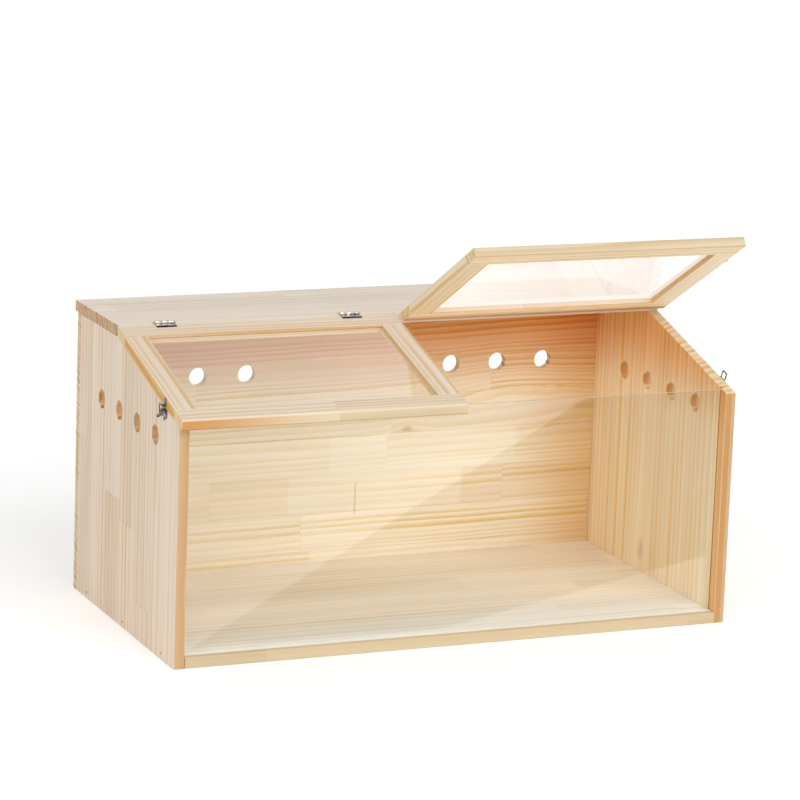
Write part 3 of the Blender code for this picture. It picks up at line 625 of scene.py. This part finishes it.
lidParts = {  # the grain's axes and the seed of each piece
    "rear_rail": ("XYZ", 40.0), "front_rail": ("XYZ", 41.0),
    "left_stile": ("YXZ", 50.0), "right_stile": ("YXZ", 51.0),
}
lidSeedStep = 5.0


def boardMaterials():
    found = {name: pineMaterial(name, board) for name, board in boards.items()}
    for number, side in enumerate(("left", "right")):
        for part, (grain, seed) in lidParts.items():
            name = f"{side}_lid_{part}"
            found[name] = pineMaterial(name, {
                **lidPine, "origin": tuple(hingePlace(side)), "turn": lidTurn[side], "grain": grain,
                "seed": seed + lidSeedStep * number, "tints": lidPine["tints"] + lidTints.get(name, [])})
    return found


# Clear sheets. They let lamps and scattered light through to the inside, as real acrylic does.

sheet = {
    "colour": (250, 252, 251), "ior": 1.49, "shine": 1.0, "turn": 0.0,
    "gloss": 0.0, "haze": 0.01, "hazeScale": 9.0, "hazeRange": (0.4, 0.7),
    "wave": 0.0002, "waveScale": 5.0, "waveStrength": 0.2,
    # the sawn edges are frosted and glow with painted light
    "edgeRange": (0.4, 0.7), "frost": 0.35, "edgeLight": 0.30,  # the sawn edges
    # the painted reflection's glow: its colour, the slant where it comes in, and its least and most
    # strength
    "glowColour": (252, 250, 255), "glowFrom": 0.5, "glowTo": 0.8, "glowLeast": 0.0, "glowMost": 0.02,
    "glowDim": 1.4,  # how much of what lies behind the veil takes away
}
lidSheet = {**sheet, "facing": (0, 0, 1), "glowFrom": 0.55, "glowTo": 0.72, "glowMost": 0.62, "shine": 0.1}
lidGlows = {
    "left": {"glowLeast": 0.024, "glowColour": (253, 243, 220)},
    "right": {"glowLeast": 0.03, "glowColour": (250, 249, 248)},
}


def clearMaterial(name, sheet):
    material, tree, shader = newMaterial(name)
    spot = put(tree, "TexCoord")
    flat = sums(tree, "ABSOLUTE", facing(tree, spot, sheet["turn"], sheet["facing"]))
    edge = eased(tree, flat, *sheet["edgeRange"], 1.0, 0.0)
    haze = noise(tree, spot.outputs["Object"], sheet["hazeScale"], 3.0)
    rough = eased(tree, haze, *sheet["hazeRange"], sheet["gloss"], sheet["haze"])
    wave = noise(tree, spot.outputs["Object"], sheet["waveScale"], 1.0)
    bumped(tree, shader, wave, sheet["waveStrength"], sheet["wave"])

    # painted reflection: a milky glow stands in for the surroundings mirrored in the sheet, the more the
    # flatter it is looked at, and it dims what lies behind
    slant = put(tree, "LayerWeight", {"Blend": 0.5}).outputs["Facing"]
    glow = eased(tree, slant, sheet["glowFrom"], sheet["glowTo"], sheet["glowLeast"], sheet["glowMost"])
    dim = product(tree, glow, sheet["glowDim"], clamp=True)
    # painted light: the sheet glows with the painted reflection, and its sawn edges glow brighter
    feed(tree, shader, {
        "Base Color": mixed(tree, dim, paint(*sheet["colour"]), (0, 0, 0, 1)),
        "Roughness": linear(tree, edge, sheet["frost"], rough),
        "Emission Color": paint(*sheet["glowColour"]),
        "Emission Strength": linear(tree, edge, sheet["edgeLight"], glow),
        "Transmission Weight": 1.0, "IOR": sheet["ior"], "Specular IOR Level": sheet["shine"],
    })
    through = put(tree, "BsdfTransparent", {"Color": paint(*sheet["colour"])})
    path = put(tree, "LightPath").outputs
    share = sums(tree, "MAXIMUM", path["Is Shadow Ray"], path["Is Diffuse Ray"])
    blendSurface(tree, share, shader, through)
    return material


# Metal: brushed a little by handling, with small specks, and clouded with dull patches that are partly wear
# and partly painted dark reflection

wear = {
    "cloudScale": 260.0, "cloudRange": (0.45, 0.7),
    "speckScale": 1500.0, "speckRange": (0.62, 0.72), "speck": 0.6,
    "scratchScale": (300.0, 2600.0, 900.0), "scratchRoughness": 0.12, "scratchHeight": 0.6,
    "bump": 0.15, "bumpDistance": 0.00003,
}
metals = {
    "hinge_chrome": {"bright": (206, 202, 198), "dull": (128, 120, 114), "gloss": 0.12, "wear": 0.18},
    # a shaded copy of the chrome for the left lid's leaves: darker, with painted shade along their lower
    # edge
    "hinge_chrome_lid": {"bright": (206, 202, 196), "dull": (112, 104, 96), "gloss": 0.14, "wear": 0.2,
                         "shade": {"from": 0.0345, "to": 0.0325, "colour": (60, 52, 46)}},
    "hinge_pin": {"bright": (190, 190, 194), "dull": (140, 140, 144), "gloss": 0.2, "wear": 0.2},
    # the latch's near-black dull stands for painted shadow and dark reflection on its small parts
    "latch_nickel": {"bright": (142, 134, 126), "dull": (36, 30, 26), "gloss": 0.16, "wear": 0.22},
    "screw_steel": {"bright": (176, 176, 178), "dull": (112, 112, 114), "gloss": 0.22, "wear": 0.2},
    "nail_head": {"bright": (128, 104, 84), "dull": (74, 56, 44), "gloss": 0.45, "wear": 0.2},
}


def buildMetalWearAndReflection():
    tree, given, out = newGroup(
        "metalWearAndReflection",
        {"Vector": ["Vector"], "Color": ["Bright", "Dull"], "Float": ["Gloss", "Wear"]},
        {"Color": ["Color"], "Float": ["Roughness", "Height"]},
    )
    # the dull cloud is partly wear and partly painted dark reflection
    cloud = noise(tree, given["Vector"], wear["cloudScale"], 3.0)
    speck = eased(tree, noise(tree, given["Vector"], wear["speckScale"], 2.0), *wear["speckRange"])
    scratch = noise(tree, scaled(tree, given["Vector"], wear["scratchScale"]), 1.0, 2.0)
    wearAndReflection = sums(tree, "MAXIMUM", eased(tree, cloud, *wear["cloudRange"]),
                product(tree, speck, wear["speck"]))
    rough = linear(tree, wearAndReflection, given["Wear"], given["Gloss"])
    feed(tree, out, {"Color": mixed(tree, wearAndReflection, given["Bright"], given["Dull"]),
                     "Roughness": varied(tree, rough, scratch, wear["scratchRoughness"]),
                     "Height": linear(tree, scratch, wear["scratchHeight"], cloud)})
    return tree


metalWearAndReflection = buildMetalWearAndReflection()


def metalMaterial(name, metal):
    material, tree, shader = newMaterial(name)
    spot = put(tree, "TexCoord").outputs["Object"]
    wearAndReflection = useGroup(tree, metalWearAndReflection, {"Vector": spot, "Bright": paint(*metal["bright"]),
                                      "Dull": paint(*metal["dull"]), "Gloss": metal["gloss"],
                                      "Wear": metal["wear"]})
    colour = wearAndReflection["Color"]
    if "shade" in metal:
        # painted shade: darker toward one end, standing for a shadow and dark reflection
        shade = metal["shade"]
        along = eased(tree, put(tree, "SeparateXYZ", {0: spot}).outputs["Y"], shade["from"], shade["to"])
        colour = mixed(tree, along, colour, paint(*shade["colour"]), "MULTIPLY")
    feed(tree, shader, {"Base Color": colour, "Roughness": wearAndReflection["Roughness"], "Metallic": 1.0})
    bumped(tree, shader, wearAndReflection["Height"], wear["bump"], wear["bumpDistance"])
    return material


pine = boardMaterials()
frontAcrylic = clearMaterial("clear_sheet", {**sheet, "facing": (0, 1, 0)})
lidAcrylic = {side: clearMaterial(side + "_lid_sheet", {**lidSheet, **glow, "turn": lidTurn[side]})
              for side, glow in lidGlows.items()}
metal = {name: metalMaterial(name, values) for name, values in metals.items()}
print("materials made:", len(bpy.data.materials))


# Box boards

boardCut = {
    "edge": 0.0009, "frontEdge": 0.0016, "sill": 0.003, "floorEdge": 0.00063,
    "ventRadius": 0.013, "ventHeight": 0.291, "ventPitch": 0.072,
    "sideVentFirst": -0.110, "backVentFirst": 0.156,
    "grooveGap": 0.0003, "grooveReach": cage["innerHalfWidth"] + 0.006, "grooveBottom": 0.009,
}


def finishPanel(item, name, edge=boardCut["edge"]):
    easeEdges(item, edge)
    dress(item, [name], "cage", pine[name])


def windowGroove():
    reach, gap = boardCut["grooveReach"], boardCut["grooveGap"]
    low = Vector((-reach, windowLow.y - gap, boardCut["grooveBottom"]))
    high = Vector((reach, windowHigh.y + gap, cage["rearHeight"] + overrun))
    return blockShape(low, high)


def makeSide(side):
    name = side + "_side_panel"
    low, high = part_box(name)
    shape = blockShape(low, high)
    kink = Vector((0, cage["kinkY"], cage["rearHeight"]))
    normal = Vector((0, -math.sin(cage["slope"]), math.cos(cage["slope"])))
    made = bmesh.ops.bisect_plane(shape, geom=shape.verts[:] + shape.edges[:] + shape.faces[:],
                                  plane_co=kink, plane_no=normal, clear_outer=True, dist=weldGap)
    cut = [item for item in made["geom_cut"] if isinstance(item, bmesh.types.BMEdge)]
    bmesh.ops.holes_fill(shape, edges=cut)
    bmesh.ops.recalc_face_normals(shape, faces=shape.faces)
    bevelWhere(shape, lambda start, end: (max(start.y, end.y) < low.y + closeBy
                                          and abs(start.z - end.z) > closeBy),
               boardCut["frontEdge"], 3)
    item = makeObject(name + "_board", shape)
    middle = (low.x + high.x) / 2
    depth = high.x - low.x + 2 * overrun
    cutters = [windowGroove()]
    for index in range(4):
        place = (middle, boardCut["sideVentFirst"] + boardCut["ventPitch"] * index,
                 boardCut["ventHeight"])
        cutters.append(holeShape(boardCut["ventRadius"], depth, place, "X"))
    carve(item, cutters)
    finishPanel(item, name)


def makeBack():
    low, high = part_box("back_panel")
    item = makeObject("back_panel_board", blockShape(low, high))
    depth = high.y - low.y + 2 * overrun
    cutters = []
    for out in (-1, 1):
        for index in range(3):
            across = out * (boardCut["backVentFirst"] + boardCut["ventPitch"] * index)
            place = (across, (low.y + high.y) / 2, boardCut["ventHeight"])
            cutters.append(holeShape(boardCut["ventRadius"], depth, place, "Y"))
    carve(item, cutters)
    finishPanel(item, "back_panel")


def makeFloor():
    low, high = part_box("floor_panel")
    shape = blockShape(low, high)
    bevelWhere(shape, frontTopEdge(low, high), boardCut["sill"], 4)
    item = makeObject("floor_panel_board", shape)
    carve(item, [windowGroove()])
    finishPanel(item, "floor_panel", boardCut["floorEdge"])


def makeTop():
    low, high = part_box("top_panel")
    shape = blockShape(low, high)
    bevelWhere(shape, frontTopEdge(low, high), boardCut["frontEdge"], 3)
    item = makeObject("top_panel_board", shape)
    finishPanel(item, "top_panel")


makeSide("left")
makeSide("right")
makeBack()
makeFloor()
makeTop()
print("box boards made")


# Clear front sheet

sheetCut = {"frontEdge": 0.0003, "lidEdge": 0.0002, "segments": 2}


def makeSheet(name, place, node, body, edge, material):
    low, high = boxIn(place, node)
    shape = blockShape(low, high)
    bmesh.ops.transform(shape, matrix=place, verts=shape.verts)
    item = makeObject(name, shape)
    easeEdges(item, edge, sheetCut["segments"])
    dress(item, [node], body, material)


makeSheet("front_sheet", Matrix(), "front_window", "cage", sheetCut["frontEdge"], frontAcrylic)


# Lids

lidCut = {"edge": 0.0009, "frontRadius": 0.003, "grooveGap": 0.0003, "hingeGap": 0.0005}


def makeLid(side):
    place = lidPlace(side)
    body = side + "_lid"
    paneLow, paneHigh = boxIn(place, body + "_pane")
    gap = Vector((lidCut["grooveGap"],) * 3)
    for part in lidParts:
        node = f"{body}_{part}"
        low, high = boxIn(place, node)
        shape = blockShape(low, high)
        if part == "rear_rail":
            # its rear face stands upright when the lid is shut
            for vert in shape.verts:
                if vert.co.y > (low.y + high.y) / 2:
                    lift = vert.co.z * math.sin(cage["slope"])
                    vert.co.y = (lift - lidCut["hingeGap"]) / math.cos(cage["slope"])
        if part == "front_rail":
            bevelWhere(shape, frontTopEdge(low, high), lidCut["frontRadius"], 4)
        item = makeObject(node + "_board", shape)
        carve(item, [blockShape(paneLow - gap, paneHigh + gap)])
        easeEdges(item, lidCut["edge"])
        item.data.transform(place)
        dress(item, [node], body, pine[node])
    makeSheet(body + "_sheet", place, body + "_pane", body, sheetCut["lidEdge"], lidAcrylic[side])


makeLid("left")
makeLid("right")
print("lids made")


# Fittings: the frame's own shapes with their edges rounded

fitting = {
    "weld": 0.00002, "flatAngle": math.radians(0.5), "segments": 3,
    "edge": 0.00018, "lever": 0.0005, "wire": 0.0004,
    "biteDepth": 0.008, "biteSegments": 32,
    "plateUp": 0.005, "plateIn": 0.0042,  # where the plates lie from the latch's pivot
}
scallops = {
    # across, up and radius of the bites out of a latch's plates, in millimetres
    "base_plate": [(-8.9, -4.4, 2.5), (8.9, -4.4, 2.5), (-5.0, -15.9, 2.9), (5.0, -15.9, 2.9)],
    "keeper": [(-5.9, 5.6, 1.9), (5.9, 5.6, 1.9), (-4.4, 12.6, 2.1), (4.4, 12.6, 2.1)],
}


def latchPlace(side):
    # +X along the slope, +Y up square to it, +Z out of the side panel, from the pivot pin's middle
    pin = frame["nodes"][side + "_latch_pivot_pin"].data.vertices
    middle = sum((vert.co for vert in pin), Vector()) / len(pin)
    return Matrix.Translation(middle) @ Matrix.Rotation(cage["slope"], 4, "X") @ facingOut(side)


def refine(node, edge, cutters=()):
    shape = bmesh.new()
    shape.from_mesh(frame["nodes"][node].data)
    bmesh.ops.remove_doubles(shape, verts=shape.verts, dist=fitting["weld"])
    bmesh.ops.dissolve_limit(shape, angle_limit=fitting["flatAngle"], verts=shape.verts,
                             edges=shape.edges)
    item = makeObject(node + "_fitting", shape)
    if cutters:
        carve(item, cutters)
    return easeEdges(item, edge, fitting["segments"])


def bites(side, part):
    # the plates' outline is scalloped; the lid that carries the right keeper stands open
    place = latchPlace(side)
    if part == "keeper":
        turn = Matrix.Rotation(lidTurn[side] - cage["slope"], 4, "X")
        pivot = Matrix.Translation(hingePlace(side))
        place = pivot @ turn @ pivot.inverted() @ place
    made = []
    for across, up, radius in scallops[part]:
        middle = (across / 1000, up / 1000 + fitting["plateUp"], -fitting["plateIn"])
        shape = holeShape(radius / 1000, fitting["biteDepth"], middle, "Z", fitting["biteSegments"])
        bmesh.ops.transform(shape, matrix=place, verts=shape.verts)
        made.append(shape)
    return made


def makeFittings():
    for number, side in hinges:
        name = f"hinge_{number}_"
        leaf = {"left": "hinge_chrome_lid", "right": "hinge_chrome"}[side]
        for part, body, finish, slot in (("panel_leaf", "cage", "hinge_chrome", "hinge_chrome"),
                                         ("lid_leaf", side + "_lid", leaf, "hinge_chrome"),
                                         ("pin", "cage", "hinge_pin", "hinge_pin")):
            dress(refine(name + part, fitting["edge"]), [name + part], body, metal[finish])
    for side in ("left", "right"):
        name = side + "_latch_"
        for part, body, edge in (("base_plate", "cage", "edge"), ("lever", side + "_latch_lever", "lever"),
                                 ("loop", side + "_latch_loop", "wire"), ("keeper", side + "_lid", "edge")):
            cutters = bites(side, part) if part in scallops else ()
            item = refine(name + part, fitting[edge], cutters)
            dress(item, [name + part], body, metal["latch_nickel"])
        pin = name + "pivot_pin"
        dress(refine(pin, fitting["edge"]), [pin], "cage", metal["hinge_pin"])


makeFittings()
print("fittings made")


# Screws with a cross recess

screw = {
    "radius": 0.0018, "dome": 0.0004, "rim": 0.0003, "neck": 0.0009, "edge": 0.00006, "segments": 32,
    "crown": [(0.0, 1.0), (0.45, 0.92), (0.8, 0.55), (0.97, 0.12)],  # shares of radius and of dome
    "under": 0.00012, "throat": 0.0013, "point": 0.0016,
    "recess": 0.0023, "slot": 0.00042, "deep": 0.0009,
    # how the recess is turned, in radians: a start and a step for each screw
    "panelTurn": (0.6, 0.9), "lidTurn": (0.2, 1.3), "baseTurn": (0.5, 1.0), "keeperTurn": 0.3,
}


def screwShape(length):
    # the head's rim lies at height 0
    shape = bmesh.new()
    profile = [(screw["radius"] * out, screw["dome"] * up) for out, up in screw["crown"]]
    profile += [(screw["radius"], -screw["under"]), (screw["neck"], -screw["throat"]),
                (screw["neck"], screw["point"] - length), (0.0, -length)]
    spinProfile(shape, profile, screw["segments"])
    closeShape(shape)
    return shape


def makeScrew(node, place, body, turn):
    low, high = boxIn(place, node)
    item = makeObject(node + "_screw_head", screwShape(high.z - low.z - screw["rim"]))
    half = screw["recess"] / 2
    arms = []
    for quarter in (0, 1):
        arm = blockShape(Vector((-half, -screw["slot"] / 2, screw["dome"] - screw["deep"])),
                         Vector((half, screw["slot"] / 2, screw["dome"] + overrun)))
        across = Matrix.Rotation(turn + quarter * math.pi / 2, 3, "Z")
        bmesh.ops.rotate(arm, matrix=across, verts=arm.verts)
        arms.append(arm)
    carve(item, arms)
    easeEdges(item, screw["edge"], 2)
    rim = Vector(((low.x + high.x) / 2, (low.y + high.y) / 2, high.z - screw["rim"]))
    item.data.transform(place @ Matrix.Translation(rim))
    dress(item, [node], body, metal["screw_steel"])


def turnOf(name, count):
    first, step = screw[name]
    return first + step * count


def makeScrews():
    count = 0
    for number, side in hinges:
        for index in (1, 2):
            makeScrew(f"hinge_{number}_panel_screw_{index}", Matrix(), "cage", turnOf("panelTurn", count))
            makeScrew(f"hinge_{number}_lid_screw_{index}", lidPlace(side), side + "_lid",
                      turnOf("lidTurn", count))
            count += 1
    for side in ("left", "right"):
        for index in (1, 2):
            makeScrew(f"{side}_latch_base_screw_{index}", facingOut(side), "cage",
                      turnOf("baseTurn", index))
        makeScrew(f"{side}_latch_keeper_screw", facingOut(side), side + "_lid", screw["keeperTurn"])


makeScrews()
print("screws made")


# Nails: small sunk heads where the boards are fixed to each other

nail = {
    # radius and height of a shallow dished ring with a flat head in it, let into the board's face
    "profile": [(0.0, 0.00006), (0.00136, 0.00004), (0.0017, -0.00004), (0.0022, 0.00002),
                (0.0022, -0.00035), (0.0, -0.00035)],
    "segments": 20, "low": 0.0078, "rear": (0.06, 0.20, 0.34),
    "sides": (-0.150, 0.004, 0.156), "back": (-0.33, -0.11, 0.11, 0.33),
}


def nailPlaces():
    # every head's place and the way it faces
    found = []
    toRear = Vector((0, 1, 0))
    for out in (-1, 1):
        way = Vector((out, 0, 0))
        found += [(Vector((out * cage["halfWidth"], away, nail["low"])), way) for away in nail["sides"]]
    found += [(Vector((across, backHigh.y, nail["low"])), toRear) for across in nail["back"]]
    for out in (-1, 1):
        across = out * (cage["halfWidth"] + cage["innerHalfWidth"]) / 2
        found += [(Vector((across, backHigh.y, height)), toRear) for height in nail["rear"]]
    return found


def makeNails():
    shape = bmesh.new()
    for place, way in nailPlaces():
        spinProfile(shape, nail["profile"], nail["segments"])
        new = [vert for vert in shape.verts if not vert.tag]
        turn = way.to_track_quat("Z", "Y").to_matrix().to_4x4()
        bmesh.ops.transform(shape, matrix=Matrix.Translation(place) @ turn, verts=new)
        for vert in new:
            vert.tag = True
    closeShape(shape)
    dress(makeObject("nail_heads", shape), [], "cage", metal["nail_head"])


makeNails()
print("nails made")


# Floor, lamps and camera

studio = {
    "floorSize": 60.0, "floorDrop": 0.0004, "floorColour": (250, 250, 250), "floorLift": 0.24,
    "roughness": 0.9, "sky": 0.44,
    "suns": [
        {"name": "front", "from": (0.20, -0.85, 0.55), "strength": 1.10, "angle": 40.0},
        {"name": "left", "from": (-0.60, -0.78, 0.42), "strength": 0.85, "angle": 50.0},
        {"name": "top", "from": (-0.10, -0.20, 1.0), "strength": 0.36, "angle": 60.0},
    ],
    "card": [(-0.40, -0.192), (1.60, -2.30), (2.60, -1.438), (-0.05, -0.214)],
    "cardColour": (30, 28, 26), "cardHeight": 0.0002,
    "cardSlant": (1.25, 1.6),  # a reflection this slanting loses the card
}


def matteMaterial(name, colour):
    material, tree, shader = newMaterial(name)
    feed(tree, shader, {"Base Color": paint(*colour), "Roughness": studio["roughness"],
                        "Specular IOR Level": 0.0})
    return material, tree, shader


def clearlySeen(tree):
    # 1 for what is seen by itself, mirrored or through a sheet, 0 for what only gives light
    path = put(tree, "LightPath").outputs
    return sums(tree, "MAXIMUM", path["Is Camera Ray"],
                sums(tree, "MAXIMUM", path["Is Glossy Ray"], path["Is Transmission Ray"]))


def makeStage():
    shape = bmesh.new()
    bmesh.ops.create_grid(shape, x_segments=1, y_segments=1, size=studio["floorSize"] / 2)
    floor = makeObject("studio_floor", shape)
    floor.location.z = -studio["floorDrop"]
    material, tree, shader = matteMaterial("studio_white", studio["floorColour"])
    lift = product(tree, clearlySeen(tree), studio["floorLift"])
    feed(tree, shader, {"Emission Color": (1, 1, 1, 1), "Emission Strength": lift})
    floor.data.materials.append(material)


def makeCard():
    # a dark patch of ground that only reflections see, for the slanting line in the front sheet
    shape = bmesh.new()
    shape.faces.new([shape.verts.new((across, away, studio["cardHeight"]))
                     for across, away in studio["card"]])
    bmesh.ops.recalc_face_normals(shape, faces=shape.faces)
    card = makeObject("studio_card", shape)
    material, tree, shader = matteMaterial("studio_dark", studio["cardColour"])

    # a ray that only passed through a sheet goes on, one that was mirrored in it is stopped,
    # unless it left the front sheet at a slant, as it does for a view from the side
    path = put(tree, "LightPath").outputs
    mirrored = sums(tree, "GREATER_THAN", path["Glossy Depth"], 0.5)
    away = put(tree, "SeparateXYZ", {0: put(tree, "TexCoord").outputs["Object"]}).outputs["Y"]
    away = sums(tree, "MAXIMUM", sums(tree, "SUBTRACT", windowLow.y, away), 0.001)
    slant = sums(tree, "DIVIDE", path["Ray Length"], away)
    mirrored = product(tree, mirrored, eased(tree, slant, *studio["cardSlant"], 1.0, 0.0))
    blendSurface(tree, mirrored, put(tree, "BsdfTransparent"), shader)
    card.data.materials.append(material)
    for ray in ("camera", "diffuse", "volume_scatter", "shadow"):
        setattr(card, "visible_" + ray, False)


def makeLamps():
    world = bpy.data.worlds.new("studio")
    bpy.context.scene.world = world
    world.use_nodes = True
    tree = world.node_tree
    strength = put(tree, "MapRange", {0: clearlySeen(tree), 1: 0.0, 2: 1.0, 3: studio["sky"], 4: 1.0})
    feed(tree, tree.nodes["Background"], {"Color": (1, 1, 1, 1), "Strength": strength.outputs[0]})
    for sun in studio["suns"]:
        lamp = bpy.data.lights.new(sun["name"], "SUN")
        lamp.energy = sun["strength"]
        lamp.angle = math.radians(sun["angle"])
        item = addObject(sun["name"], lamp)
        item.rotation_euler = Vector(sun["from"]).to_track_quat("Z", "Y").to_euler()


shot = {
    "lens": 166.567, "sensor": 36.0, "farEnd": 200, "place": (-1.970746, -4.508614, 1.384092),
    "yaw": 23.518, "pitch": 12.532, "roll": 2.069,
}


def makeCamera():
    lens = bpy.data.cameras.new("camera")
    lens.lens = shot["lens"]
    lens.sensor_width = shot["sensor"]
    lens.clip_end = shot["farEnd"]
    camera = addObject("camera", lens)
    turn = Matrix.Rotation(math.radians(-shot["yaw"]), 4, "Z")
    turn @= Matrix.Rotation(math.radians(90 - shot["pitch"]), 4, "X")
    turn @= Matrix.Rotation(math.radians(shot["roll"]), 4, "Z")
    camera.matrix_world = Matrix.Translation(shot["place"]) @ turn
    bpy.context.scene.camera = camera


makeStage()
makeCard()
makeLamps()
makeCamera()
bpy.context.scene.view_settings.view_transform = "Standard"
print("studio made")
